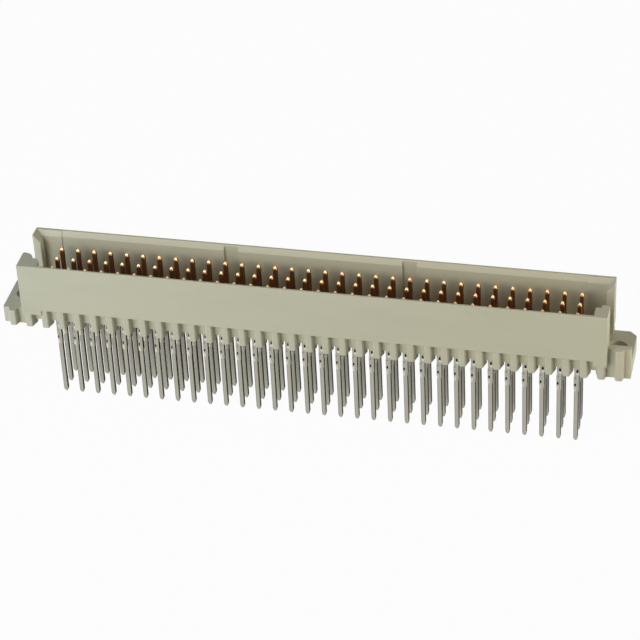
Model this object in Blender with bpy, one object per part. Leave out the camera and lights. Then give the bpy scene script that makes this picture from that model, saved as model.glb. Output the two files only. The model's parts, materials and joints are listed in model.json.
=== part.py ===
"""Backplane pin header, inverse type: 3 rows of 32 press-fit contacts in a shrouded housing.

+X runs along the rows, +Y across them to the back wall, and +Z out of the shroud. Sizes here are
in millimetres, and heights are measured from the board seat, the plane of the housing's feet.
The finished part is in metres and stands with its tail tips on Z = 0, centred on the origin.
"""

import math

import bmesh
import bpy

MM = 0.001

# Contact grid
COLUMNS = 32
COLUMN_PITCH = 2.54
ROW_LETTERS = ("a", "b", "c")
ROW_PITCH = 2.54
FUSED_ROW = "b"
FUSED_TAIL_ROW = "c"
FUSED_TAIL_COUNT = 5

# Shroud
END_MARGIN = 3.43
SIDE_MARGIN = 1.84
LONG_WALL = 0.87
END_WALL = 1.2
RIM_HEIGHT = 11.3
FLOOR_HEIGHT = 4.4
SKIRT_HEIGHT = 3.4
LEAD_IN_DEPTH = 0.85
LEAD_IN_WIDTH = 0.44
END_LEAD_IN_DEPTH = 1.35
END_LEAD_IN_WIDTH = 1.1
END_ZONE_LENGTH = 4.15
MIDDLE_RELIEF = 0.12

# Polarising grooves in the back wall
GROOVE_OFFSET = 13.55
GROOVE_WIDTH = 2.2
GROOVE_DEPTH = 0.35

# Screw gap in each end wall
GAP_BACK = 3.0
GAP_FRONT = -2.5

# Corner posts in front of the gaps: a lobe at the end wall, and a key that reaches into the cavity.
# The left one (-1) is wider and rounder than the right one (1).
LOBE_BACK = {-1: -1.56, 1: -2.1}
LOBE_INNER = {-1: 42.15, 1: 42.8}
LOBE_RADIUS = {-1: 1.2, 1: 0.3}
LOBE_OUTER_RADIUS = 0.25
KEY_BACK = {-1: -2.85, 1: -2.75}
KEY_INNER = {-1: 41.0, 1: 42.0}
KEY_RADIUS = {-1: 0.8, 1: 0.35}

# Base and its foot ribs
BASE_MARGIN = 1.46
STANDOFF = 0.95
RIB_FACE_WIDTH = 0.92
RIB_SLOPE = 0.31
RIB_REACH = 0.9
RIB_ROOT = 0.6
SHROUD_RIB_PITCHES = 1.5
EAR_RIB_PITCHES = 2.5

# Screw ears
EAR_LENGTH = 3.4
EAR_THICKNESS = 2.7
EAR_CORNER = 1.0
EAR_PAD_INSET = 0.8
HOLE_DIAMETER = 2.8
HOLE_OFFSET = 1.0
HOLE_SIDES = 24
CURB_HEIGHT = 2.5
CURB_WALL = 0.9

# Contacts
TAIL_SIZE = 0.64
MATING_SIZE = 0.6
MATING_TIP_HEIGHT = 9.8
MATING_TIP_SIZE = 0.26
MATING_TAPER = 0.45
TAIL_TIP_DEPTH = 13.2
TAIL_TIP_SIZE = 0.26
TAIL_TAPER = 0.8
SHEAR_TOP = 0.3
SHEAR_LENGTH = 2.7
SHEAR_RAMP = 0.6
SHEAR_SHIFT = 0.22
CONTACT_CLEARANCE = 0.05

# How far one solid is sunk into the next before they are joined, and cutters run past a face
OVERLAP = 0.3
OVERRUN = 1.0
ARC_STEPS = 6

# Places worked out from the sizes above
COLUMN_SPAN = (COLUMNS - 1) * COLUMN_PITCH
ROW_SPAN = (len(ROW_LETTERS) - 1) * ROW_PITCH
CAVITY_END = COLUMN_SPAN / 2 + END_MARGIN
SHROUD_END = CAVITY_END + END_WALL
CAVITY_SIDE = ROW_SPAN / 2 + SIDE_MARGIN
SHROUD_SIDE = CAVITY_SIDE + LONG_WALL
BASE_SIDE = ROW_SPAN / 2 + BASE_MARGIN
RIB_FACE = BASE_SIDE + RIB_REACH
LEAD_IN_HEIGHT = RIM_HEIGHT - LEAD_IN_DEPTH
RIM_MIDDLE = (CAVITY_SIDE + LEAD_IN_WIDTH + SHROUD_SIDE) / 2
END_ZONE_START = SHROUD_END - END_ZONE_LENGTH
EAR_END = SHROUD_END + EAR_LENGTH
EAR_START = SHROUD_END - EAR_PAD_INSET
HOLE_CENTRE = SHROUD_END + HOLE_OFFSET
CURB_TOP = EAR_THICKNESS + CURB_HEIGHT
CONTACT_HOLE = TAIL_SIZE + 2 * CONTACT_CLEARANCE
SHEAR_BOTTOM = -SHEAR_TOP - SHEAR_LENGTH


def clear_scene():
    for item in list(bpy.data.objects):
        bpy.data.objects.remove(item, do_unlink=True)


def make_material(name, colour, roughness, metallic):
    material = bpy.data.materials.new(name)
    material.use_nodes = True
    shader = material.node_tree.nodes["Principled BSDF"]
    shader.inputs["Base Color"].default_value = (*colour, 1.0)
    shader.inputs["Roughness"].default_value = roughness
    shader.inputs["Metallic"].default_value = metallic
    return material


def object_from_bmesh(name, mesh_data):
    """Turn millimetres above the seat into metres above the tail tips, faces pointing out."""
    bmesh.ops.recalc_face_normals(mesh_data, faces=mesh_data.faces)
    bmesh.ops.translate(mesh_data, vec=(0.0, 0.0, TAIL_TIP_DEPTH), verts=mesh_data.verts)
    bmesh.ops.scale(mesh_data, vec=(MM, MM, MM), verts=mesh_data.verts)
    mesh = bpy.data.meshes.new(name)
    mesh_data.to_mesh(mesh)
    mesh_data.free()
    item = bpy.data.objects.new(name, mesh)
    bpy.context.scene.collection.objects.link(item)
    return item


def add_prism(mesh_data, outline, axis, start, end):
    """Extrude a flat outline along an axis. The outline's points are the other two coordinates."""

    def place(point, along):
        first, second = point
        if axis == "X":
            return (along, first, second)
        if axis == "Y":
            return (first, along, second)
        return (first, second, along)

    lower = [mesh_data.verts.new(place(point, start)) for point in outline]
    face = mesh_data.faces.new(lower)
    extruded = bmesh.ops.extrude_face_region(mesh_data, geom=[face])
    raised = [item for item in extruded["geom"] if isinstance(item, bmesh.types.BMVert)]
    shift = place((0.0, 0.0), end - start)
    bmesh.ops.translate(mesh_data, vec=shift, verts=raised)


def prism(name, outline, axis, start, end):
    mesh_data = bmesh.new()
    add_prism(mesh_data, outline, axis, start, end)
    return object_from_bmesh(name, mesh_data)


def rectangle(low_first, high_first, low_second, high_second):
    return [
        (low_first, low_second),
        (high_first, low_second),
        (high_first, high_second),
        (low_first, high_second),
    ]


def mirrored(outline, side):
    return [(side * first, second) for first, second in outline]


def rounded_corner(before, corner, after, radius):
    """Points of an arc that rounds a right-angled corner between two straight runs."""
    start = step_towards(corner, before, radius)
    end = step_towards(corner, after, radius)
    centre = (start[0] + end[0] - corner[0], start[1] + end[1] - corner[1])
    start_angle = math.atan2(start[1] - centre[1], start[0] - centre[0])
    end_angle = math.atan2(end[1] - centre[1], end[0] - centre[0])
    turn = (end_angle - start_angle + math.pi) % (2 * math.pi) - math.pi
    points = []
    for step in range(ARC_STEPS + 1):
        angle = start_angle + turn * step / ARC_STEPS
        points.append((centre[0] + radius * math.cos(angle), centre[1] + radius * math.sin(angle)))
    return points


def step_towards(origin, target, distance):
    length = math.dist(origin, target)
    return tuple(o + (t - o) * distance / length for o, t in zip(origin, target))


def circle(centre_x, centre_y, radius, sides):
    turn = 2 * math.pi / sides
    return [
        (centre_x + radius * math.cos(turn * side), centre_y + radius * math.sin(turn * side))
        for side in range(sides)
    ]


def combine(body, tool, operation):
    """Join a shape to the body or cut it away. The tool itself is a guide, not a piece."""
    tool.hide_render = True
    tool.display_type = "WIRE"
    modifier = body.modifiers.new(tool.name, "BOOLEAN")
    modifier.operation = operation
    modifier.solver = "EXACT"
    modifier.object = tool


def column_x(column):
    return column * COLUMN_PITCH - COLUMN_SPAN / 2


def row_y(letter):
    return ROW_LETTERS.index(letter) * ROW_PITCH - ROW_SPAN / 2


def is_fused(letter, column):
    """True for the contacts that share the housing's node, to stay within the node limit."""
    late = column >= COLUMNS - FUSED_TAIL_COUNT
    return letter == FUSED_ROW or (letter == FUSED_TAIL_ROW and late)


def contact_places():
    return [(letter, column) for letter in ROW_LETTERS for column in range(COLUMNS)]


def channel():
    """Base, floor and both long walls in one section, run along the length of the shroud."""
    rim_inside = CAVITY_SIDE + LEAD_IN_WIDTH
    right_half = [
        (BASE_SIDE, STANDOFF),
        (BASE_SIDE, SKIRT_HEIGHT),
        (SHROUD_SIDE, SKIRT_HEIGHT),
        (SHROUD_SIDE, RIM_HEIGHT),
        (rim_inside, RIM_HEIGHT),
        (CAVITY_SIDE, LEAD_IN_HEIGHT),
        (CAVITY_SIDE, FLOOR_HEIGHT),
    ]
    left_half = mirrored(reversed(right_half), -1)
    return prism("housing", right_half + left_half, "X", -SHROUD_END, SHROUD_END)


def middle_relief():
    """The cavity is a little wider between its end zones, lead-in and all."""
    inside = CAVITY_SIDE + MIDDLE_RELIEF
    rim_inside = inside + LEAD_IN_WIDTH
    right_half = [
        (inside, FLOOR_HEIGHT),
        (inside, LEAD_IN_HEIGHT),
        (rim_inside, RIM_HEIGHT),
        (rim_inside, RIM_HEIGHT + OVERRUN),
    ]
    left_half = mirrored(reversed(right_half), -1)
    return prism("middle_relief", right_half + left_half, "X", -END_ZONE_START, END_ZONE_START)


def polarising_grooves():
    back = CAVITY_SIDE + MIDDLE_RELIEF + GROOVE_DEPTH
    mesh_data = bmesh.new()
    for side in (-1, 1):
        middle = side * GROOVE_OFFSET
        outline = rectangle(
            middle - GROOVE_WIDTH / 2, middle + GROOVE_WIDTH / 2, CAVITY_SIDE - OVERLAP, back
        )
        add_prism(mesh_data, outline, "Z", FLOOR_HEIGHT, RIM_HEIGHT + OVERRUN)
    return object_from_bmesh("polarising_grooves", mesh_data)


def end_gaps():
    """Room for a screw's head beside each ear, cut through the end wall down to the ear."""
    mesh_data = bmesh.new()
    for side in (-1, 1):
        outline = rectangle(CAVITY_END, SHROUD_END + OVERRUN, GAP_FRONT, GAP_BACK)
        top = FLOOR_HEIGHT + OVERRUN
        add_prism(mesh_data, mirrored(outline, side), "Z", EAR_THICKNESS, top)
    return object_from_bmesh("end_gaps", mesh_data)


def post_outline(side):
    """Plan of one corner post, on the positive side."""
    outer_front = (SHROUD_END, -RIM_MIDDLE)
    outer_back = (SHROUD_END, LOBE_BACK[side])
    lobe_back = (LOBE_INNER[side], LOBE_BACK[side])
    lobe_foot = (LOBE_INNER[side], KEY_BACK[side])
    key_back = (KEY_INNER[side], KEY_BACK[side])
    key_front = (KEY_INNER[side], -RIM_MIDDLE)
    outline = [outer_front]
    outline += rounded_corner(outer_front, outer_back, lobe_back, LOBE_OUTER_RADIUS)
    outline += rounded_corner(outer_back, lobe_back, lobe_foot, LOBE_RADIUS[side])
    outline.append(lobe_foot)
    outline += rounded_corner(lobe_foot, key_back, key_front, KEY_RADIUS[side])
    outline.append(key_front)
    return outline


def front_posts():
    mesh_data = bmesh.new()
    for side in (-1, 1):
        outline = mirrored(post_outline(side), side)
        add_prism(mesh_data, outline, "Z", EAR_THICKNESS - OVERLAP, RIM_HEIGHT)
    return object_from_bmesh("front_posts", mesh_data)


def back_returns():
    """The stub of each end wall behind the gap, with the cavity's lead-in along its rim."""
    outline = [
        (CAVITY_END, FLOOR_HEIGHT - OVERLAP),
        (SHROUD_END, FLOOR_HEIGHT - OVERLAP),
        (SHROUD_END, RIM_HEIGHT),
        (CAVITY_END + END_LEAD_IN_WIDTH, RIM_HEIGHT),
        (CAVITY_END, RIM_HEIGHT - END_LEAD_IN_DEPTH),
    ]
    mesh_data = bmesh.new()
    for side in (-1, 1):
        add_prism(mesh_data, mirrored(outline, side), "Y", GAP_BACK, RIM_MIDDLE)
    return object_from_bmesh("back_returns", mesh_data)


def rib_outline(x, side):
    """Plan of one rib: a flat face in front, its sides opening out towards the base."""
    root = BASE_SIDE - RIB_ROOT
    half_face = RIB_FACE_WIDTH / 2
    half_root = half_face + RIB_SLOPE * (RIB_FACE - root)
    return [
        (x - half_face, side * RIB_FACE),
        (x + half_face, side * RIB_FACE),
        (x + half_root, side * root),
        (x - half_root, side * root),
    ]


def foot_ribs():
    """Ribs between the columns along both long sides. Their lower ends are the feet."""
    first = -COLUMN_SPAN / 2 - SHROUD_RIB_PITCHES * COLUMN_PITCH
    count = COLUMNS + int(2 * SHROUD_RIB_PITCHES)
    mesh_data = bmesh.new()
    for side in (-1, 1):
        for place in range(count):
            outline = rib_outline(first + place * COLUMN_PITCH, side)
            add_prism(mesh_data, outline, "Z", 0.0, SKIRT_HEIGHT + OVERLAP)
    return object_from_bmesh("foot_ribs", mesh_data)


def screw_ears():
    """Both ears: a plate with chamfered back corners and one rib on its front."""
    outline = [
        (EAR_START, -BASE_SIDE),
        (EAR_END, -BASE_SIDE),
        (EAR_END, BASE_SIDE - EAR_CORNER),
        (EAR_END - EAR_CORNER, BASE_SIDE),
        (EAR_START, BASE_SIDE),
    ]
    mesh_data = bmesh.new()
    for side in (-1, 1):
        add_prism(mesh_data, mirrored(outline, side), "Z", 0.0, EAR_THICKNESS)
    return object_from_bmesh("screw_ears", mesh_data)


def ear_ribs():
    """One rib on the front of each ear, as tall as what it stands against."""
    x = COLUMN_SPAN / 2 + EAR_RIB_PITCHES * COLUMN_PITCH
    mesh_data = bmesh.new()
    for side, top in ((-1, EAR_THICKNESS), (1, CURB_TOP)):
        add_prism(mesh_data, rib_outline(side * x, -1), "Z", 0.0, top)
    return object_from_bmesh("ear_ribs", mesh_data)


def ear_curb():
    """The raised edge along the front of the right ear."""
    outline = rectangle(SHROUD_END - OVERLAP, EAR_END, -BASE_SIDE, -BASE_SIDE + CURB_WALL)
    return prism("ear_curb", outline, "Z", EAR_THICKNESS - OVERLAP, CURB_TOP)


def screw_holes():
    mesh_data = bmesh.new()
    for side in (-1, 1):
        outline = circle(side * HOLE_CENTRE, 0.0, HOLE_DIAMETER / 2, HOLE_SIDES)
        add_prism(mesh_data, outline, "Z", -OVERRUN, EAR_THICKNESS + OVERRUN)
    return object_from_bmesh("screw_holes", mesh_data)


def contact_holes():
    half = CONTACT_HOLE / 2
    mesh_data = bmesh.new()
    for letter, column in contact_places():
        if is_fused(letter, column):
            continue
        x = column_x(column)
        y = row_y(letter)
        outline = rectangle(x - half, x + half, y - half, y + half)
        add_prism(mesh_data, outline, "Z", STANDOFF - OVERRUN, FLOOR_HEIGHT + OVERRUN)
    return object_from_bmesh("contact_holes", mesh_data)


def square_ring(mesh_data, x, y, z, size):
    half = size / 2
    corners = rectangle(x - half, x + half, y - half, y + half)
    return [mesh_data.verts.new((px, py, z)) for px, py in corners]


def split_square_ring(mesh_data, x, y, z, size):
    """A square with one more point in the middle of its front and back edges."""
    half = size / 2
    points = [(-half, -half), (0, -half), (half, -half), (half, half), (0, half), (-half, half)]
    return [mesh_data.verts.new((x + px, y + py, z)) for px, py in points]


def loft(mesh_data, lower, upper):
    count = len(lower)
    for index in range(count):
        after = (index + 1) % count
        mesh_data.faces.new((lower[index], lower[after], upper[after], upper[index]))


def add_contact(mesh_data, x, y):
    """One contact from tail to mating tip, with its sheared press-fit section below the seat."""
    tail_tip = square_ring(mesh_data, x, y, -TAIL_TIP_DEPTH, TAIL_TIP_SIZE)
    tail_full = square_ring(mesh_data, x, y, -TAIL_TIP_DEPTH + TAIL_TAPER, TAIL_SIZE)
    below = split_square_ring(mesh_data, x, y, SHEAR_BOTTOM, TAIL_SIZE)
    above = split_square_ring(mesh_data, x, y, -SHEAR_TOP, TAIL_SIZE)
    mating = square_ring(mesh_data, x, y, MATING_TIP_HEIGHT - MATING_TAPER, MATING_SIZE)
    mating_tip = square_ring(mesh_data, x, y, MATING_TIP_HEIGHT, MATING_TIP_SIZE)

    mesh_data.faces.new(tail_tip[::-1])
    loft(mesh_data, tail_tip, tail_full)
    join_square_to_split(mesh_data, tail_full, below)
    add_sheared_beams(mesh_data, x, y, below, above)
    join_square_to_split(mesh_data, mating, above)
    loft(mesh_data, mating, mating_tip)
    mesh_data.faces.new(mating_tip)


def join_square_to_split(mesh_data, square, split):
    """Close the shaft between a plain square ring and one with the two extra points."""
    mesh_data.faces.new((square[0], square[1], split[2], split[1], split[0]))
    mesh_data.faces.new((square[1], square[2], split[3], split[2]))
    mesh_data.faces.new((square[2], square[3], split[5], split[4], split[3]))
    mesh_data.faces.new((square[3], square[0], split[0], split[5]))


def add_sheared_beams(mesh_data, x, y, below, above):
    """Two half-width beams, cut down the middle and pushed apart, the right one to the front.

    They slide on the shear plane, so the pair stays one body with an S-shaped section.
    """
    half = TAIL_SIZE / 2
    levels = (SHEAR_BOTTOM + SHEAR_RAMP, -SHEAR_TOP - SHEAR_RAMP)
    section = [
        (-half, -half + SHEAR_SHIFT),
        (0.0, -half + SHEAR_SHIFT),
        (0.0, -half - SHEAR_SHIFT),
        (half, -half - SHEAR_SHIFT),
        (half, half - SHEAR_SHIFT),
        (0.0, half - SHEAR_SHIFT),
        (0.0, half + SHEAR_SHIFT),
        (-half, half + SHEAR_SHIFT),
    ]
    rings = [[mesh_data.verts.new((x + px, y + py, z)) for px, py in section] for z in levels]
    loft(mesh_data, rings[0], rings[1])
    for solid, ring in ((below, rings[0]), (above, rings[1])):
        mesh_data.faces.new((solid[0], solid[1], ring[1], ring[0]))
        mesh_data.faces.new((solid[1], ring[2], ring[1]))
        mesh_data.faces.new((solid[1], solid[2], ring[3], ring[2]))
        mesh_data.faces.new((solid[2], solid[3], ring[4], ring[3]))
        mesh_data.faces.new((solid[3], solid[4], ring[5], ring[4]))
        mesh_data.faces.new((solid[4], ring[6], ring[5]))
        mesh_data.faces.new((solid[4], solid[5], ring[7], ring[6]))
        mesh_data.faces.new((solid[5], solid[0], ring[0], ring[7]))


def fused_contacts():
    mesh_data = bmesh.new()
    for letter, column in contact_places():
        if is_fused(letter, column):
            add_contact(mesh_data, column_x(column), row_y(letter))
    return object_from_bmesh("fused_contacts", mesh_data)


def build_housing(material):
    housing = channel()
    housing.data.materials.append(material)
    combine(housing, end_gaps(), "DIFFERENCE")
    for shape in (front_posts(), back_returns(), foot_ribs(), screw_ears(), ear_ribs(), ear_curb()):
        combine(housing, shape, "UNION")
    for shape in (middle_relief(), polarising_grooves(), screw_holes(), contact_holes()):
        combine(housing, shape, "DIFFERENCE")
    combine(housing, fused_contacts(), "UNION")
    return housing


def build_contacts(material):
    """The separate contacts share one mesh, each placed by its own location."""
    mesh_data = bmesh.new()
    add_contact(mesh_data, 0.0, 0.0)
    pattern = object_from_bmesh("contact_pattern", mesh_data)
    mesh = pattern.data
    mesh.name = "contact"
    mesh.materials.append(material)
    bpy.data.objects.remove(pattern, do_unlink=True)
    for letter, column in contact_places():
        if is_fused(letter, column):
            continue
        contact = bpy.data.objects.new(f"contact_{letter}{column + 1:02d}", mesh)
        contact.location = (column_x(column) * MM, row_y(letter) * MM, 0.0)
        bpy.context.scene.collection.objects.link(contact)


def main():
    clear_scene()
    plastic = make_material("housing_plastic", (0.47, 0.47, 0.36), 0.5, 0.0)
    metal = make_material("contact_metal", (0.62, 0.6, 0.55), 0.3, 1.0)
    build_housing(plastic)
    build_contacts(metal)


main()
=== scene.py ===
"""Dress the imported 96-way backplane pin header: its moulding, its contacts and a studio.

Lengths are in metres. Heights are given from the board seat, the plane of the housing's feet, and
the modelling helpers lift them into the frame, which stands on the tips of the tails.
"""

import json
import math

import bmesh
import bpy
from bpy.props import FloatProperty, FloatVectorProperty, PointerProperty
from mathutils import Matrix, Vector


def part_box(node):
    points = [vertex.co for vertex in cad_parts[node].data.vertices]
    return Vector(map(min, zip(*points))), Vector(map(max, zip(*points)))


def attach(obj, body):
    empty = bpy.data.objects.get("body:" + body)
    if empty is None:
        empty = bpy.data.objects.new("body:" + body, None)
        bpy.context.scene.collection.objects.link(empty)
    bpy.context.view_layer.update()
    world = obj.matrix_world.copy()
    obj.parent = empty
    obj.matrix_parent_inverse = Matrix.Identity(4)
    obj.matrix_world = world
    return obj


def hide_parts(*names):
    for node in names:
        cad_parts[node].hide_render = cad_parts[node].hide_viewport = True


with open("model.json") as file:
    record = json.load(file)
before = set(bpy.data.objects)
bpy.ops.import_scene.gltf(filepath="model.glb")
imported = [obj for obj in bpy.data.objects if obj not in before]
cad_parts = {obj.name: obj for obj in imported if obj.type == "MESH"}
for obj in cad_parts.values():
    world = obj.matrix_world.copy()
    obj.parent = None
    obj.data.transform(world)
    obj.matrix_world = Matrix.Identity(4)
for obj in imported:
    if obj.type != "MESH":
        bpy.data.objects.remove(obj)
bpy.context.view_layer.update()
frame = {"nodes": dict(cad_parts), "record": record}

bl_info = {
    "name": "Backplane Pin Header",
    "version": (1, 0, 0),
    "blender": (4, 5, 0),
    "location": "View3D > Sidebar > Pin Header",
    "description": "Moulds a shrouded pin header, forms its press-fit contacts and sets a studio",
    "category": "Add Mesh",
}

MM = 0.001
ROW_LETTERS = ("a", "b", "c")
COLUMNS = 32

# Points nearer to each other than this count as one place.
CLOSE = 0.01 * MM
# Joined shapes reach this far into each other, and cutters this far past what they open.
OVERLAP = 0.3 * MM
OVERRUN = 1.0 * MM
# How far a key's outer face lies inside its lobe, and a rib's root inside the base.
KEY_INSET = 0.5 * MM
RIB_INSET = 0.6 * MM
# Ribs along each long side past either end of the rows, not counting the one on the ear.
RIBS_PAST_END = 2
# Flat sides of a screw hole.
HOLE_SIDES = 40
# The return's inner edge is looked for up to this distance from the end face.
RETURN_MARGIN = 0.05 * MM
# Height over which the neck narrows to the mating pin.
PIN_STEP = 0.1 * MM
# A punched pocket's height against its width, how far its cutter stands out in front, and how
# far the upper pocket lies below the top of the sheared section.
POCKET_RATIO = 1.4
POCKET_MARGIN = 0.1 * MM
POCKET_DROP = 0.05 * MM
# A smaller pocket's size against the others'.
SMALL_POCKET = 0.4

# Edges that turn less than the first angle only cross a flat face. Those that turn more than
# the second are corners of the moulding, not steps of an arc. Shading is smooth up to the third.
FLAT_ANGLE = math.radians(0.5)
CORNER_ANGLE = math.radians(24.0)
SMOOTH_ANGLE = math.radians(50.0)
# Parts of a face's normal beyond which it looks to the front, or sideways.
FRONT_FACING = -0.8
SIDE_FACING = 0.6

# Heights over which the tin gives way to gold, and the gold's painted shade on the shaft to its
# painted highlight at the tip.
PLATING_CHANGE = (2.0 * MM, 2.4 * MM)
PAINTED_HIGHLIGHT_TIP = (9.2 * MM, 9.5 * MM)
# How fine the patterns of the finishes are, and how two of them are drawn out.
FLOW_SCALE = 260.0
GRAIN_SCALE = 5200.0
CLOUD_SCALE = 900.0
SCRATCH_SCALE = 9000.0
FLOW_STRETCH = (0.25, 1.0, 1.0)
SCRATCH_STRETCH = (1.0, 1.0, 0.08)
FLOW_STOPS = ((0.42, 0.0), (0.66, 1.0))
# How much rougher the grain makes the plastic, and the clouds the plating.
GRAIN_ROUGHNESS = 0.14
CLOUD_ROUGHNESS = 0.16
# Places of the side faces, whose dark tin is painted shade, and of the pockets, whose black is
# painted shade, among a contact's materials.
SHADED_SIDE = 1
POCKET = 2

# The floor's size, and how much of it is shown white to the camera.
FLOOR_SIZE = 6.0
FLOOR_WHITE = 0.97
# The camera's place and turn follow the photograph's perspective.
CAMERA_PLACE = (0.0782196, -0.311654, 0.2453043)
CAMERA_TURN = (0.94959904, 0.04314662, 0.2129423)
CAMERA_LENS = 149.5287
CAMERA_CLIP = (0.05, 20.0)
WHITE = (1.0, 1.0, 1.0, 1.0)

mounts = {mount["name"]: mount for mount in frame["record"]["mounts"]}
SEAT = mounts["board_seat"]["pos_m"][2]
first_low, first_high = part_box("contact_a01")
second_low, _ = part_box("contact_a02")
PITCH = second_low.x - first_low.x
FIRST_X = (first_low.x + first_high.x) / 2
FIRST_Y = (first_low.y + first_high.y) / 2


def length(name, description, millimetres):
    """A length setting. Its default is given in millimetres."""
    return FloatProperty(
        name=name, description=description, default=millimetres * MM, unit="LENGTH", precision=5
    )


def colour(name, description, default):
    """A colour setting."""
    return FloatVectorProperty(
        name=name, description=description, default=default, subtype="COLOR", min=0.0, max=1.0
    )


def amount(name, description, default):
    """A setting for a strength, which is never negative."""
    return FloatProperty(name=name, description=description, default=default, min=0.0)


class ShroudSettings(bpy.types.PropertyGroup):
    """Sizes of the shroud, its cavity and the screw gaps at its ends."""

    end: length("Half length", "From the middle to the shroud's end face", 44.0)
    side: length("Half width", "From the middle to the shroud's long outer face", 5.25)
    rim: length("Rim", "Height of the rim", 11.3)
    skirt: length("Skirt", "Height of the long walls' lower edge", 3.4)
    floor: length("Floor", "Height of the cavity's floor", 4.4)
    cavity_end: length("Cavity half length", "From the middle to the end wall's inner face", 42.8)
    cavity_side: length("Cavity half width", "From the middle to the long wall's inner face", 4.38)
    lead_in_depth: length("Lead-in depth", "Height of the slope along the inside of the rim", 0.85)
    lead_in_width: length("Lead-in width", "How far the slope opens the long walls", 0.44)
    end_lead_in_depth: length("End lead-in depth", "Height of the slope at the end walls", 1.35)
    end_lead_in_width: length("End lead-in width", "How far it opens the end walls", 1.1)
    relief: length("Relief", "Extra depth of the long walls between the end zones", 0.12)
    relief_end: length("Relief half length", "From the middle to the end zones", 39.85)
    groove_offset: length("Groove place", "From the middle to each polarising groove", 13.55)
    groove_width: length("Groove width", "Width of a polarising groove", 2.2)
    groove_depth: length("Groove depth", "Depth of a polarising groove", 0.35)
    gap_front: length("Gap front", "Where the screw gap starts behind the post", -2.5)
    gap_back: length("Gap back", "Where the screw gap ends at the back return", 3.0)
    return_edge: length("Return edge", "Rounding of the back return's front edge", 0.18)
    edge: length("Edge radius", "Rounding of the moulded edges", 0.05)


class PostSettings(bpy.types.PropertyGroup):
    """Plan of one front post: an outer lobe with a large corner, and a key towards the cavity."""

    lobe_inner: length("Lobe inner face", "From the middle to the lobe's inner face", 42.15)
    lobe_back: length("Lobe back", "Back of the lobe", -1.56)
    lobe_radius: length("Lobe corner", "Radius of the lobe's inner corner", 1.5)
    outer_radius: length("Lobe outer corner", "Radius of the lobe's outer corner", 0.25)
    key_inner: length("Key inner face", "From the middle to the key's inner face", 41.0)
    key_back: length("Key back", "Back of the key", -2.85)
    key_radius: length("Key corner", "Radius of the key's corner", 0.8)


class FootSettings(bpy.types.PropertyGroup):
    """Sizes of the base, the foot ribs and the screw ears."""

    base_side: length("Base half width", "From the middle to the base's long face", 4.0)
    standoff: length("Standoff", "Height of the base's underside", 0.95)
    rib_width: length("Rib width", "Width of a rib's front face", 0.92)
    rib_root_width: length("Rib root", "Width of a rib at its root inside the base", 1.85)
    rib_reach: length("Rib reach", "How far a rib stands out of the base", 0.9)
    rib_edge: length("Rib edge", "Rounding of a rib's edges", 0.16)
    ear_edge: length("Ear edge", "Rounding of an ear's front corner", 0.2)
    ear_start: length("Ear start", "Where an ear leaves the base", 43.2)
    ear_end: length("Ear end", "From the middle to an ear's end face", 47.4)
    ear_top: length("Ear top", "Height of an ear's flat top", 2.7)
    ear_corner: length("Ear corner", "Chamfer of an ear's back corner", 1.0)
    hole_place: length("Hole place", "From the middle to a screw hole", 45.0)
    hole: length("Hole radius", "Radius of a screw hole", 1.4)
    curb_top: length("Curb top", "Height of the right ear's raised front edge", 5.2)
    curb_wall: length("Curb wall", "Thickness of the raised front edge", 0.9)


class ContactSettings(bpy.types.PropertyGroup):
    """Sizes of one press-fit contact."""

    tail_size: length("Tail size", "Width of the square tail", 0.64)
    tail_tip: length("Tail tip", "Width of the tail's blunt tip", 0.26)
    tail_bulge: length("Tail bulge", "Width half way along the tail's point", 0.54)
    tail_end: length("Tail end", "Height of the tail's tip, below the seat", -13.2)
    tail_taper: length("Tail taper", "Length of the tail's point", 0.6)
    pin_size: length("Pin size", "Width of the square mating pin", 0.6)
    pin_tip: length("Pin tip", "Width of the mating pin's tip", 0.22)
    pin_bulge: length("Pin bulge", "Width half way along the mating pin's point", 0.48)
    pin_end: length("Pin end", "Height of the mating pin's tip", 9.8)
    pin_taper: length("Pin taper", "Length of the mating pin's point", 0.4)
    pin_start: length("Pin start", "Height where the tail turns into the mating pin", 3.0)
    shear_top: length("Shear top", "Height where the sheared section starts", -0.3)
    shear_bottom: length("Shear bottom", "Height where the sheared section ends", -4.1)
    shear_ramp: length("Shear ramp", "Length over which each beam moves out", 0.6)
    shear_shift: length("Shear shift", "How far each beam moves to the front or back", 0.16)
    shear_spread: length("Shear spread", "How far each beam's outer face moves out", 0.08)
    left_start: length("Left beam start", "Height where the left beam begins to move", -1.2)
    punch_size: length("Punch mark size", "Width of a punched pocket", 0.32)
    coined: length("Coined edge", "Chamfer along the corners", 0.06)
    clearance: length("Clearance", "Gap between a contact and its hole", 0.05)


class FinishSettings(bpy.types.PropertyGroup):
    """Colours and gloss of the plastic and of the plated metal, some of the metal's colours with
    painted shade or a painted highlight.
    """

    plastic: colour("Plastic", "Moulded thermoplastic", (0.455, 0.47, 0.375))
    plastic_dark: colour("Plastic, darker", "Its darker flow marks", (0.42, 0.435, 0.345))
    # The shafts' gold is darkened to paint the shade that they mirror inside the shroud.
    gold: colour("Gold", "Plating of the mating pins' shafts", (0.4, 0.19, 0.09))
    # The tips' lighter gold is a painted highlight.
    tip_gold_painted_highlight: colour("Bright gold", "Burnished plating of their tips", (0.75, 0.48, 0.25))
    tin: colour("Tin", "Plating of the tails", (0.4, 0.395, 0.33))
    # Dark tin that paints shade on the contacts' side faces.
    side_tin_painted_shade: colour("Sheared edge", "Side faces that the press cut", (0.14, 0.13, 0.115))
    # Black that paints the shade inside the punched pockets.
    pocket_painted_shade: colour("Punch mark", "Inside of a punched pocket", (0.01, 0.01, 0.01))
    flow: amount("Flow marks", "Strength of the plastic's darker flow marks", 0.5)
    plastic_roughness: amount("Plastic roughness", "Roughness of the smoothest plastic", 0.44)
    metal_roughness: amount("Metal roughness", "Roughness of the smoothest plating", 0.3)
    plating_tint: amount("Plating tint", "How much the plating mirrors along its surface", 0.8)
    cut_tint: amount("Sheared tint", "How much a sheared face mirrors along its surface", 0.1)


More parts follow.
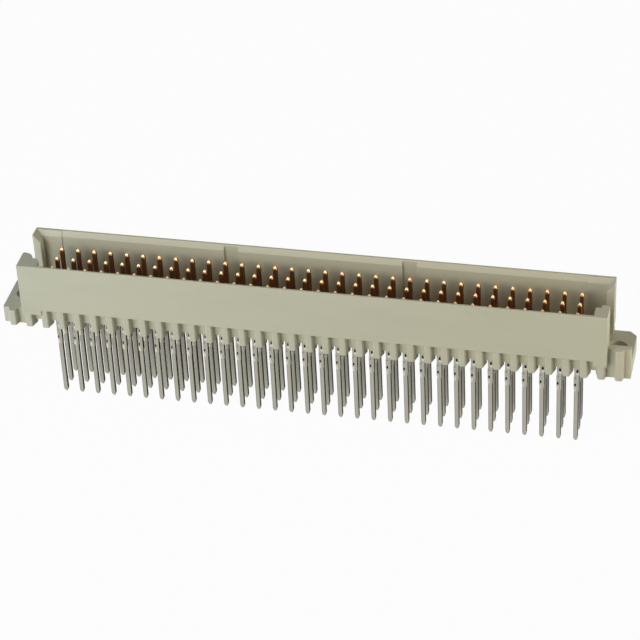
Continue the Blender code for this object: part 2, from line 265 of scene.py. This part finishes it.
class StudioSettings(bpy.types.PropertyGroup):
    """Colours and strengths of the floor, the surround and the lamps."""

    floor: colour("Floor", "Colour that the floor throws back", (0.4, 0.4, 0.4))
    warm: colour("Warm light", "Tint of every lamp but the near left one", (1.0, 0.86, 0.69))
    cool: colour("Cool light", "Tint of the near left lamp", (0.64, 0.81, 1.0))
    surround: amount("Surround", "Strength of the light from all round", 0.12)
    key: amount("Key lamp", "Power of the far lamp in front on the left", 8.5)
    near: amount("Near lamp", "Power of the small lamp close to the left end", 0.24)
    side: amount("Side lamp", "Power of the small lamp close to the right end", 0.38)
    back: amount("Back lamp", "Power of the low lamp behind", 1.5)


class Value:
    """A shader socket on which arithmetic adds Math nodes."""

    def __init__(self, finish, socket):
        self.finish = finish
        self.socket = socket

    def math(self, operation, first, second):
        return self.finish.node("ShaderNodeMath", {"operation": operation}, {0: first, 1: second})

    def __add__(self, other):
        return self.math("ADD", self, other)

    def __radd__(self, other):
        return self.math("ADD", other, self)

    def __mul__(self, other):
        return self.math("MULTIPLY", self, other)

    def __rmul__(self, other):
        return self.math("MULTIPLY", other, self)


class Finish:
    """A node tree under construction, for a material or for the world."""

    def __init__(self, owner):
        owner.use_nodes = True
        self.owner = owner
        self.tree = owner.node_tree
        self.tree.nodes.clear()

    def node(self, kind, settings, values, output=0):
        """Add a node: its settings first, then the values or links of its sockets."""
        node = self.tree.nodes.new(kind)
        for name, setting in settings.items():
            if name == "stops":
                for stop, (place, shade) in zip(node.color_ramp.elements, setting):
                    stop.position = place
                    stop.color = (shade, shade, shade, 1.0)
            else:
                setattr(node, name, setting)
        for key, value in values.items():
            if isinstance(value, Value):
                self.tree.links.new(value.socket, node.inputs[key])
            else:
                node.inputs[key].default_value = value
        return Value(self, node.outputs[output])

    def place(self):
        """Position on the piece, in metres."""
        return self.node("ShaderNodeTexCoord", {}, {}, "Object")

    def stretched(self, place, scale):
        """The position scaled on each axis, which draws a pattern out where the scale is low."""
        return self.node("ShaderNodeMapping", {}, {"Vector": place, "Scale": scale})

    def noise(self, place, scale, detail=2.0):
        """Soft random variation from 0 to 1."""
        values = {"Vector": place, "Scale": scale, "Detail": detail}
        return self.node("ShaderNodeTexNoise", {}, values, "Fac")

    def ramp(self, height, start, end):
        """Rise from 0 to 1 between two heights above the seat."""
        values = {"Value": height, "From Min": SEAT + start, "From Max": SEAT + end}
        return self.node("ShaderNodeMapRange", {}, values)

    def band(self, value, stops):
        """Turn a value into a mask by a ramp of grey stops."""
        return self.node("ShaderNodeValToRGB", {"stops": stops}, {"Fac": value})

    def blend(self, factor, first, second):
        """Mix two colours."""
        first, second = (c if isinstance(c, Value) else (*c, 1.0) for c in (first, second))
        settings = {"data_type": "RGBA"}
        return self.node("ShaderNodeMix", settings, {0: factor, 6: first, 7: second}, 2)

    def bump(self, height, strength, distance):
        """Raise the surface in the shading by a small distance."""
        values = {"Height": height, "Strength": strength, "Distance": distance}
        return self.node("ShaderNodeBump", {}, values)

    def surface(self, values):
        """End the tree in a Principled shader."""
        self.output(self.node("ShaderNodeBsdfPrincipled", {}, values))

    def output(self, shader):
        """End the tree in the output of a material or of the world."""
        kind = "ShaderNodeOutputWorld"
        if isinstance(self.owner, bpy.types.Material):
            kind = "ShaderNodeOutputMaterial"
        end = self.tree.nodes.new(kind)
        self.tree.links.new(shader.socket, end.inputs["Surface"])


def housing_plastic(colours):
    """Satin light grey thermoplastic with faint flow marks and a fine mould texture."""
    material = bpy.data.materials.new("housing_plastic_moulded")
    finish = Finish(material)
    place = finish.place()
    flow = finish.noise(finish.stretched(place, FLOW_STRETCH), FLOW_SCALE, detail=4.0)
    grain = finish.noise(place, GRAIN_SCALE)
    marks = finish.band(flow, FLOW_STOPS)
    finish.surface({
        "Base Color": finish.blend(marks * colours.flow, colours.plastic, colours.plastic_dark),
        "Roughness": colours.plastic_roughness + GRAIN_ROUGHNESS * grain,
        "Specular IOR Level": 0.4,
        "Normal": finish.bump(grain, strength=0.12, distance=0.02 * MM),
    })
    return material


def contact_plating(colours, name, below, edge_tint):
    """Gold above the base, darker on the shaft as painted shade and lighter at the tip as a painted
    highlight, and tin of a given colour below the base.

    The edge tint says how much the metal still mirrors when it is seen along its surface.
    """
    material = bpy.data.materials.new(name)
    finish = Finish(material)
    place = finish.place()
    height = finish.node("ShaderNodeSeparateXYZ", {}, {"Vector": place}, "Z")
    plated = finish.ramp(height, *PLATING_CHANGE)
    tip = finish.ramp(height, *PAINTED_HIGHLIGHT_TIP)
    cloud = finish.noise(place, CLOUD_SCALE, detail=3.0)
    scratch = finish.noise(finish.stretched(place, SCRATCH_STRETCH), SCRATCH_SCALE)
    # The dark shaft gold paints mirrored shade, and the lighter tip gold a painted highlight.
    gold = finish.blend(tip, colours.gold, colours.tip_gold_painted_highlight)
    finish.surface({
        "Base Color": finish.blend(plated, below, gold),
        "Metallic": 1.0,
        "Specular Tint": (edge_tint, edge_tint, edge_tint, 1.0),
        "Roughness": colours.metal_roughness + CLOUD_ROUGHNESS * cloud,
        "Normal": finish.bump(scratch, strength=0.15, distance=0.01 * MM),
    })
    return material


def pocket_shade_paint(colours):
    """Black for the inside of the punched pockets, painted shade where the hollows lie in shadow.
    """
    material = bpy.data.materials.new("contact_punch_mark")
    finish = Finish(material)
    finish.surface({"Base Color": (*colours.pocket_painted_shade, 1.0), "Roughness": 0.9})
    return material


def focus(piece):
    """Make one object the only selected and active one."""
    bpy.ops.object.select_all(action="DESELECT")
    piece.select_set(True)
    bpy.context.view_layer.objects.active = piece


def add_block(name, x_span, y_span, z_span):
    """A block between two places on each axis, in any order, with heights from the seat."""
    bpy.ops.object.select_all(action="DESELECT")
    spans = [sorted(span) for span in (x_span, y_span, z_span)]
    low, high = (Vector(corner) for corner in zip(*spans))
    middle = (low + high) / 2 + Vector((0.0, 0.0, SEAT))
    bpy.ops.mesh.primitive_cube_add(size=1.0, location=middle, scale=high - low)
    bpy.ops.object.transform_apply()
    block = bpy.context.object
    block.name = name
    return block


def start_edit(block, kind):
    """Enter edit mode for one kind of element, with nothing selected."""
    focus(block)
    bpy.ops.object.mode_set(mode="EDIT")
    bpy.ops.mesh.select_mode(type=kind)
    bpy.ops.mesh.select_all(action="DESELECT")
    return bmesh.from_edit_mesh(block.data)


def end_edit():
    bpy.ops.object.mode_set(mode="OBJECT")


def pick_edges(block, test):
    """Enter edit mode with only those edges selected whose two ends pass the test."""
    shape = start_edit(block, "EDGE")
    for edge in shape.edges:
        first, second = (vert.co for vert in edge.verts)
        if test(first) and test(second):
            edge.select_set(True)
    bmesh.update_edit_mesh(block.data)


def pick_faces(block, test):
    """Enter edit mode with only those faces selected whose middle passes the test."""
    shape = start_edit(block, "FACE")
    for face in shape.faces:
        if test(face.calc_center_median()):
            face.select_set(True)
    bmesh.update_edit_mesh(block.data)


def on_upright(x, y):
    """Test for points on one upright line."""
    return lambda point: abs(point.x - x) < CLOSE and abs(point.y - y) < CLOSE


def round_upright(block, x, y, radius, steps=6):
    """Round the upright edge that stands at a place in the plan."""
    pick_edges(block, on_upright(x, y))
    bpy.ops.mesh.bevel(offset=radius, segments=steps, affect="EDGES")
    end_edit()


def at_height(height):
    """Test for points at one height above the seat."""
    return lambda point: abs(point.z - SEAT - height) < CLOSE


def cut_level(block, height):
    """Add a ring of edges at a height."""
    shape = start_edit(block, "FACE")
    for face in shape.faces:
        face.select_set(True)
    bmesh.update_edit_mesh(block.data)
    bpy.ops.mesh.bisect(plane_co=(0.0, 0.0, SEAT + height), plane_no=(0.0, 0.0, 1.0))
    end_edit()


def stretch_level(block, height, scale):
    """Scale the points at a height about the middle of the piece's plan."""
    pick_edges(block, at_height(height))
    bpy.ops.transform.resize(value=scale, center_override=(0.0, 0.0, SEAT + height))
    end_edit()


def draw_out(block, height, rise, width_ratio):
    """Extrude the end face at a height and taper it."""
    pick_faces(block, at_height(height))
    bpy.ops.mesh.extrude_region_move(TRANSFORM_OT_translate={"value": (0.0, 0.0, rise)})
    bpy.ops.transform.resize(
        value=(width_ratio, width_ratio, 1.0), center_override=(0.0, 0.0, SEAT + height + rise)
    )
    end_edit()


def draw_point(bar, height, rise, size, bulge, tip):
    """Give a bar's end a blunt point in two steps."""
    draw_out(bar, height, rise / 2, bulge / size)
    draw_out(bar, height + rise / 2, rise / 2, tip / bulge)


def combine(body, tool, operation):
    """Join a shape to the body or cut it away, and use it up."""
    focus(body)
    modifier = body.modifiers.new(tool.name, "BOOLEAN")
    modifier.operation = operation
    modifier.solver = "EXACT"
    modifier.object = tool
    bpy.ops.object.modifier_apply(modifier=modifier.name)
    bpy.data.objects.remove(tool, do_unlink=True)


def repeat(block, count, step):
    """Copy a shape along a row."""
    focus(block)
    row = block.modifiers.new("row", "ARRAY")
    row.count = count
    row.use_relative_offset = False
    row.use_constant_offset = True
    row.constant_offset_displace = step
    bpy.ops.object.modifier_apply(modifier=row.name)


def open_cavity(name, shroud, half_length, half_width, end_width):
    """The room inside the shroud with its sloped lead-ins, as a cutter that runs past the rim."""
    top = shroud.rim + OVERRUN
    side_start = shroud.rim - shroud.lead_in_depth
    end_start = shroud.rim - shroud.end_lead_in_depth
    cutter = add_block(
        name, (-half_length, half_length), (-half_width, half_width), (shroud.floor, top)
    )
    cut_level(cutter, end_start)
    cut_level(cutter, side_start)
    for height in (side_start, top):
        end_flare = end_width * (height - end_start) / shroud.end_lead_in_depth
        side_flare = shroud.lead_in_width * (height - side_start) / shroud.lead_in_depth
        stretch_level(
            cutter, height, (1.0 + end_flare / half_length, 1.0 + side_flare / half_width, 1.0)
        )
    return cutter


def front_post(shroud, post, ear_top, side):
    """One corner post: a lobe beside the screw gap and a key that reaches into the cavity."""
    front = -(shroud.cavity_side + shroud.lead_in_width + shroud.side) / 2
    heights = (ear_top - OVERLAP, shroud.rim)
    outer = side * shroud.end
    lobe_inner = side * post.lobe_inner
    key_inner = side * post.key_inner
    lobe = add_block("post_lobe", (outer, lobe_inner), (front, post.lobe_back), heights)
    round_upright(lobe, lobe_inner, post.lobe_back, post.lobe_radius)
    round_upright(lobe, outer, post.lobe_back, post.outer_radius)
    key_outer = outer - side * KEY_INSET
    key = add_block("post_key", (key_outer, key_inner), (front, post.key_back), heights)
    round_upright(key, key_inner, post.key_back, post.key_radius)
    combine(lobe, key, "UNION")
    return lobe


def foot_rib(foot, x, top, side):
    """One tapered rib with rounded front and lower edges."""
    face_y = side * (foot.base_side + foot.rib_reach)
    root_y = side * (foot.base_side - RIB_INSET)
    half = foot.rib_width / 2
    rib = add_block("foot_rib", (x - half, x + half), (face_y, root_y), (0.0, top))
    pick_faces(rib, lambda point: abs(point.y - root_y) < CLOSE)
    bpy.ops.transform.resize(
        value=(foot.rib_root_width / foot.rib_width, 1.0, 1.0), center_override=(x, root_y, SEAT)
    )
    end_edit()
    pick_edges(
        rib, lambda point: abs(point.y - face_y) < CLOSE or abs(point.z - SEAT) < CLOSE
    )
    bpy.ops.mesh.bevel(offset=foot.rib_edge, segments=5, affect="EDGES")
    end_edit()
    return rib


def screw_ear(foot, side):
    """One ear with a chamfered back corner."""
    ear = add_block(
        "screw_ear",
        (side * foot.ear_start, side * foot.ear_end),
        (-foot.base_side, foot.base_side),
        (0.0, foot.ear_top),
    )
    round_upright(ear, side * foot.ear_end, foot.base_side, foot.ear_corner, 1)
    round_upright(ear, side * foot.ear_end, -foot.base_side, foot.ear_edge)
    return ear


def screw_hole(foot, side):
    """The round hole through one ear, as a cutter."""
    bpy.ops.object.select_all(action="DESELECT")
    bpy.ops.mesh.primitive_cylinder_add(
        vertices=HOLE_SIDES, radius=foot.hole, depth=4 * foot.ear_top,
        location=(side * foot.hole_place, 0.0, SEAT),
    )
    bpy.ops.object.transform_apply()
    return bpy.context.object


def polarising_groove(shroud, side):
    """One of the two grooves in the back wall, as a cutter."""
    back = shroud.cavity_side + shroud.relief + shroud.groove_depth
    middle = side * shroud.groove_offset
    half = shroud.groove_width / 2
    return add_block(
        "groove",
        (middle - half, middle + half),
        (0.0, back),
        (shroud.floor, shroud.rim + OVERRUN),
    )


def contact_holes(foot, shroud, contact):
    """Square holes for all the contacts, as one cutter."""
    half = contact.tail_size / 2 + contact.clearance
    hole = add_block(
        "contact_hole",
        (FIRST_X - half, FIRST_X + half),
        (FIRST_Y - half, FIRST_Y + half),
        (foot.standoff - OVERRUN, shroud.floor + OVERRUN),
    )
    repeat(hole, COLUMNS, (PITCH, 0.0, 0.0))
    repeat(hole, len(ROW_LETTERS), (0.0, PITCH, 0.0))
    return hole


def clean_faces(body):
    """Merge doubled points and take out the edges that cross flat faces."""
    focus(body)
    bpy.ops.object.mode_set(mode="EDIT")
    bpy.ops.mesh.select_all(action="SELECT")
    bpy.ops.mesh.remove_doubles(threshold=0.1 * CLOSE)
    bpy.ops.mesh.dissolve_limited(angle_limit=FLAT_ANGLE)
    end_edit()


def round_return(body, shroud):
    """Round the inner front edge of each back return, along its slope as well."""
    low = SEAT + shroud.floor - CLOSE

    def on_inner_edge(point):
        inner = shroud.cavity_end - CLOSE < abs(point.x) < shroud.end - RETURN_MARGIN
        return inner and abs(point.y - shroud.gap_back) < CLOSE and point.z > low

    pick_edges(body, on_inner_edge)
    bpy.ops.mesh.bevel(offset=shroud.return_edge, segments=5, affect="EDGES")
    end_edit()


def soften_edges(body, radius):
    """Round the moulding's outward edges. Arcs, whose steps turn less, stay as they are."""
    shape = start_edit(body, "EDGE")
    for edge in shape.edges:
        if edge.is_convex and edge.calc_face_angle() > CORNER_ANGLE:
            edge.select_set(True)
    bmesh.update_edit_mesh(body.data)
    bpy.ops.mesh.bevel(offset=radius, segments=2, affect="EDGES")
    end_edit()


def smooth_shading(piece):
    """Shade the roundings smoothly and keep the flat faces flat."""
    focus(piece)
    bpy.ops.object.shade_smooth_by_angle(angle=SMOOTH_ANGLE)
    normals = piece.modifiers.new("normals", "WEIGHTED_NORMAL")
    normals.keep_sharp = True
    bpy.ops.object.modifier_apply(modifier=normals.name)


def hollow_shroud(shroud, foot, base_top):
    """The shroud's walls on the base, with the cavity cut out."""
    ends = (-shroud.end, shroud.end)
    body = add_block(
        "moulded_housing", ends, (-shroud.side, shroud.side), (shroud.skirt, shroud.rim)
    )
    base = add_block("base", ends, (-foot.base_side, foot.base_side), (foot.standoff, base_top))
    combine(body, base, "UNION")
    cavity = open_cavity(
        "cavity", shroud, shroud.cavity_end, shroud.cavity_side, shroud.end_lead_in_width
    )
    combine(body, cavity, "DIFFERENCE")
    relief = open_cavity(
        "relief", shroud, shroud.relief_end, shroud.cavity_side + shroud.relief, 0.0
    )
    combine(body, relief, "DIFFERENCE")
    return body


def finish_end(body, shroud, foot, post, side):
    """Cut the screw gap at one end, and set its post and its ear."""
    gap = add_block(
        "screw_gap",
        (side * shroud.cavity_end, side * (shroud.end + OVERRUN)),
        (shroud.gap_front, shroud.gap_back),
        (foot.ear_top, shroud.rim + OVERRUN),
    )
    combine(body, gap, "DIFFERENCE")
    combine(body, front_post(shroud, post, foot.ear_top, side), "UNION")
    combine(body, screw_ear(foot, side), "UNION")


def rib_row(foot, top, side):
    """The ribs along one long side: half way between the contacts, and some past each end."""
    ribs = foot_rib(foot, FIRST_X - (RIBS_PAST_END - 0.5) * PITCH, top, side)
    repeat(ribs, COLUMNS - 1 + 2 * RIBS_PAST_END, (PITCH, 0.0, 0.0))
    return ribs


def raised_edge(shroud, foot):
    """The wall along the front edge of the right ear."""
    curb = add_block(
        "curb",
        (shroud.end - OVERLAP, foot.ear_end),
        (-foot.base_side, -foot.base_side + foot.curb_wall),
        (foot.ear_top - OVERLAP, foot.curb_top),
    )
    round_upright(curb, foot.ear_end, -foot.base_side, foot.ear_edge)
    return curb


class HEADER_OT_mould_housing(bpy.types.Operator):
    """Mould the shroud, base, ribs, ears and posts as one plastic piece"""

    bl_idname = "header.mould_housing"
    bl_label = "Mould the Housing"

    def execute(self, context):
        scene = context.scene
        shroud = scene.header_shroud
        foot = scene.header_foot
        posts = {-1: scene.header_left_post, 1: scene.header_right_post}
        base_top = shroud.skirt + OVERLAP
        body = hollow_shroud(shroud, foot, base_top)
        for side in (-1, 1):
            finish_end(body, shroud, foot, posts[side], side)
            combine(body, rib_row(foot, base_top, side), "UNION")
            combine(body, polarising_groove(shroud, side), "DIFFERENCE")
        combine(body, raised_edge(shroud, foot), "UNION")
        last_rib = -FIRST_X + (RIBS_PAST_END + 0.5) * PITCH
        combine(body, foot_rib(foot, -last_rib, foot.ear_top, -1), "UNION")
        combine(body, foot_rib(foot, last_rib, foot.curb_top, -1), "UNION")
        for side in (-1, 1):
            combine(body, screw_hole(foot, side), "DIFFERENCE")
        clean_faces(body)
        round_return(body, shroud)
        soften_edges(body, shroud.edge)
        combine(body, contact_holes(foot, shroud, scene.header_contact), "DIFFERENCE")
        smooth_shading(body)
        body.data.materials.clear()
        body.data.materials.append(housing_plastic(scene.header_finish))
        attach(body, "root")
        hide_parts("housing")
        return {"FINISHED"}


def sheared_beam(contact, side):
    """One half of the press-fit section: the left one is bent back, the right one forward."""
    half = contact.tail_size / 2
    beam = add_block(
        "beam", (side * half, 0.0), (-half, half), (contact.shear_bottom, contact.shear_top)
    )
    start = contact.shear_top
    if side < 0:
        start = contact.left_start
        cut_level(beam, start)
    for height in (contact.shear_bottom + contact.shear_ramp, start - contact.shear_ramp):
        cut_level(beam, height)
        pick_edges(beam, at_height(height))
        bpy.ops.transform.resize(
            value=(1.0 + contact.shear_spread / half, 1.0, 1.0),
            center_override=(0.0, 0.0, SEAT + height),
        )
        bpy.ops.transform.translate(value=(0.0, -side * contact.shear_shift, 0.0))
        end_edit()
    return beam


def square_bar(name, size, coined, z_span):
    """A square bar along Z with coined corners."""
    half = size / 2
    bar = add_block(name, (-half, half), (-half, half), z_span)
    for x in (-half, half):
        for y in (-half, half):
            round_upright(bar, x, y, coined, 1)
    return bar


def punch_marks(contact):
    """Where the press left small pockets in the front: side, height and relative size."""
    return (
        (1, contact.shear_top - POCKET_DROP, 1.0),
        (-1, contact.left_start - contact.shear_ramp, SMALL_POCKET),
        (-1, contact.left_start - 3 * contact.shear_ramp, 1.0),
    )


def punch_mark(contact, side, height, size):
    """One pocket, as a cutter through the front of a beam."""
    half = size * contact.punch_size / 2
    middle = side * contact.tail_size / 4
    front = -contact.tail_size / 2 - contact.shear_shift
    return add_block(
        "punch_mark",
        (middle - half, middle + half),
        (front - POCKET_MARGIN, 0.0),
        (height - POCKET_RATIO * half, height + POCKET_RATIO * half),
    )


def in_punch_mark(contact, face):
    """Whether a face is a wall or the bottom of one of the pockets."""
    for side, height, size in punch_marks(contact):
        half = size * contact.punch_size / 2 + CLOSE
        beside = abs(face.center.x - side * contact.tail_size / 4) < half
        level = abs(face.center.z - SEAT - height) < POCKET_RATIO * half
        if beside and level and (face.normal.y > FRONT_FACING or face.center.y > -CLOSE):
            return True
    return False


def contact_pattern(contact):
    """One contact on the middle of the frame, from its tail to its mating tip."""
    tail_start = contact.tail_end + contact.tail_taper
    tail = square_bar(
        "contact_pattern", contact.tail_size, contact.coined, (tail_start, contact.shear_bottom)
    )
    draw_point(
        tail,
        tail_start,
        -contact.tail_taper,
        contact.tail_size,
        contact.tail_bulge,
        contact.tail_tip,
    )
    neck = square_bar(
        "neck", contact.tail_size, contact.coined, (contact.shear_top, contact.pin_start)
    )
    pin_taper_start = contact.pin_end - contact.pin_taper
    draw_out(neck, contact.pin_start, PIN_STEP, contact.pin_size / contact.tail_size)
    pin_base = contact.pin_start + PIN_STEP
    draw_out(neck, pin_base, pin_taper_start - pin_base, 1.0)
    draw_point(
        neck,
        pin_taper_start,
        contact.pin_taper,
        contact.pin_size,
        contact.pin_bulge,
        contact.pin_tip,
    )
    for part in (sheared_beam(contact, -1), sheared_beam(contact, 1), neck):
        combine(tail, part, "UNION")
    for mark in punch_marks(contact):
        combine(tail, punch_mark(contact, *mark), "DIFFERENCE")
    clean_faces(tail)
    return tail


class HEADER_OT_form_contacts(bpy.types.Operator):
    """Form one press-fit contact and set a copy in every hole"""

    bl_idname = "header.form_contacts"
    bl_label = "Form the Contacts"

    def execute(self, context):
        scene = context.scene
        contact = scene.header_contact
        colours = scene.header_finish
        pattern = contact_pattern(contact)
        pattern.data.materials.clear()
        for material in (
            contact_plating(colours, "contact_plating", colours.tin, colours.plating_tint),
            # Dark tin below the base paints shade on the side faces.
            contact_plating(colours, "contact_cut_edge", colours.side_tin_painted_shade, colours.cut_tint),
            pocket_shade_paint(colours),
        ):
            pattern.data.materials.append(material)
        for face in pattern.data.polygons:
            # Pockets get black, painted shade.
            if in_punch_mark(contact, face):
                face.material_index = POCKET
            # Side faces get the dark tin of painted shade.
            elif abs(face.normal.x) > SIDE_FACING:
                face.material_index = SHADED_SIDE
        for row, letter in enumerate(ROW_LETTERS):
            for column in range(COLUMNS):
                place = f"{letter}{column + 1:02d}"
                focus(pattern)
                bpy.ops.object.duplicate()
                bpy.ops.transform.translate(
                    value=(FIRST_X + column * PITCH, FIRST_Y + row * PITCH, 0.0)
                )
                bpy.ops.object.transform_apply()
                pin = bpy.context.object
                pin.name = "pin_" + place
                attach(pin, "root")
                node = "contact_" + place
                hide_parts(node if node in frame["nodes"] else "housing")
        bpy.data.objects.remove(pattern, do_unlink=True)
        return {"FINISHED"}


def add_lamp(name, power, tint, azimuth, elevation, distance, size):
    """A soft square lamp that faces the middle. The azimuth and the elevation are in degrees."""
    azimuth, elevation = (math.radians(angle) for angle in (azimuth, elevation))
    towards = Vector((
        math.sin(azimuth) * math.cos(elevation),
        -math.cos(azimuth) * math.cos(elevation),
        math.sin(elevation),
    ))
    middle = Vector((0.0, 0.0, SEAT))
    bpy.ops.object.light_add(type="AREA", location=middle + distance * towards)
    lamp = bpy.context.object
    lamp.name = name
    lamp.rotation_euler = towards.to_track_quat("Z", "Y").to_euler()
    lamp.data.size = size
    lamp.data.energy = power
    lamp.data.color = tint


class HEADER_OT_set_studio(bpy.types.Operator):
    """Set the floor, the white surround, the soft lamps and the camera"""

    bl_idname = "header.set_studio"
    bl_label = "Set the Studio"

    def execute(self, context):
        scene = context.scene
        studio = scene.header_studio
        bpy.ops.mesh.primitive_plane_add(size=FLOOR_SIZE)
        floor = bpy.context.object
        floor.name = "floor"
        floor.data.materials.append(self.floor_paint(studio))
        self.surround(scene, studio)
        add_lamp(
            "key", studio.key, studio.warm,
            azimuth=-28.0, elevation=20.0, distance=1.1, size=0.7,
        )
        add_lamp(
            "near", studio.near, studio.cool,
            azimuth=-55.0, elevation=14.0, distance=0.22, size=0.15,
        )
        add_lamp(
            "side", studio.side, studio.warm,
            azimuth=85.0, elevation=15.0, distance=0.25, size=0.15,
        )
        add_lamp(
            "back", studio.back, studio.warm,
            azimuth=180.0, elevation=5.0, distance=1.1, size=0.3,
        )
        bpy.ops.object.camera_add(location=CAMERA_PLACE, rotation=CAMERA_TURN)
        camera = bpy.context.object
        camera.data.lens = CAMERA_LENS
        camera.data.clip_start, camera.data.clip_end = CAMERA_CLIP
        scene.camera = camera
        scene.view_settings.view_transform = "Standard"
        return {"FINISHED"}

    def floor_paint(self, studio):
        """Matt grey that is seen nearly white."""
        material = bpy.data.materials.new("floor_paint")
        finish = Finish(material)
        paint = finish.node(
            "ShaderNodeBsdfPrincipled", {}, {"Base Color": (*studio.floor, 1.0), "Roughness": 0.7}
        )
        glow = finish.node("ShaderNodeEmission", {}, {"Strength": 1.0})
        finish.output(self.seen_white(finish, paint, glow, FLOOR_WHITE))
        return material

    def surround(self, scene, studio):
        """Faint light from all round that is seen as plain white."""
        world = bpy.data.worlds.new("surround")
        scene.world = world
        finish = Finish(world)
        light = finish.node(
            "ShaderNodeBackground", {}, {"Color": WHITE, "Strength": studio.surround}
        )
        white = finish.node("ShaderNodeBackground", {}, {"Color": WHITE})
        finish.output(self.seen_white(finish, light, white, 1.0))

    def seen_white(self, finish, lit, white, share):
        """Show a share of white to the camera and in reflections, and the lit surface elsewhere."""
        rays = [
            finish.node("ShaderNodeLightPath", {}, {}, output)
            for output in ("Is Camera Ray", "Is Glossy Ray", "Is Transmission Ray")
        ]
        seen = rays[0].math("MAXIMUM", rays[0], rays[1])
        seen = seen.math("MAXIMUM", seen, rays[2])
        return finish.node("ShaderNodeMixShader", {}, {0: share * seen, 1: lit, 2: white})


class HEADER_PT_panel(bpy.types.Panel):
    """Settings and steps of the pin header"""

    bl_label = "Pin Header"
    bl_idname = "HEADER_PT_panel"
    bl_space_type = "VIEW_3D"
    bl_region_type = "UI"
    bl_category = "Pin Header"

    def draw(self, context):
        layout = self.layout
        for step in OPERATORS:
            layout.operator(step.bl_idname)
        for place, group in SETTINGS.items():
            box = layout.box()
            box.label(text=place.replace("header_", "").replace("_", " ").capitalize())
            for name in group.__annotations__:
                box.prop(getattr(context.scene, place), name)


SETTINGS = {
    "header_shroud": ShroudSettings,
    "header_left_post": PostSettings,
    "header_right_post": PostSettings,
    "header_foot": FootSettings,
    "header_contact": ContactSettings,
    "header_finish": FinishSettings,
    "header_studio": StudioSettings,
}
OPERATORS = (HEADER_OT_mould_housing, HEADER_OT_form_contacts, HEADER_OT_set_studio)
CLASSES = (*dict.fromkeys(SETTINGS.values()), *OPERATORS, HEADER_PT_panel)


def register():
    for item in CLASSES:
        bpy.utils.register_class(item)
    for place, group in SETTINGS.items():
        setattr(bpy.types.Scene, place, PointerProperty(type=group))


def unregister():
    for place in SETTINGS:
        delattr(bpy.types.Scene, place)
    for item in CLASSES:
        bpy.utils.unregister_class(item)


def shape_right_post(right_post):
    """Give the right post its own sizes. The left one has the defaults."""
    right_post.lobe_inner = 42.8 * MM
    right_post.lobe_back = -2.1 * MM
    right_post.lobe_radius = 0.3 * MM
    right_post.key_inner = 42.0 * MM
    right_post.key_back = -2.75 * MM
    right_post.key_radius = 0.35 * MM


def main():
    """Make the whole scene."""
    register()
    shape_right_post(bpy.context.scene.header_right_post)
    bpy.ops.header.set_studio()
    bpy.ops.header.mould_housing()
    bpy.ops.header.form_contacts()


if __name__ == "__main__":
    main()
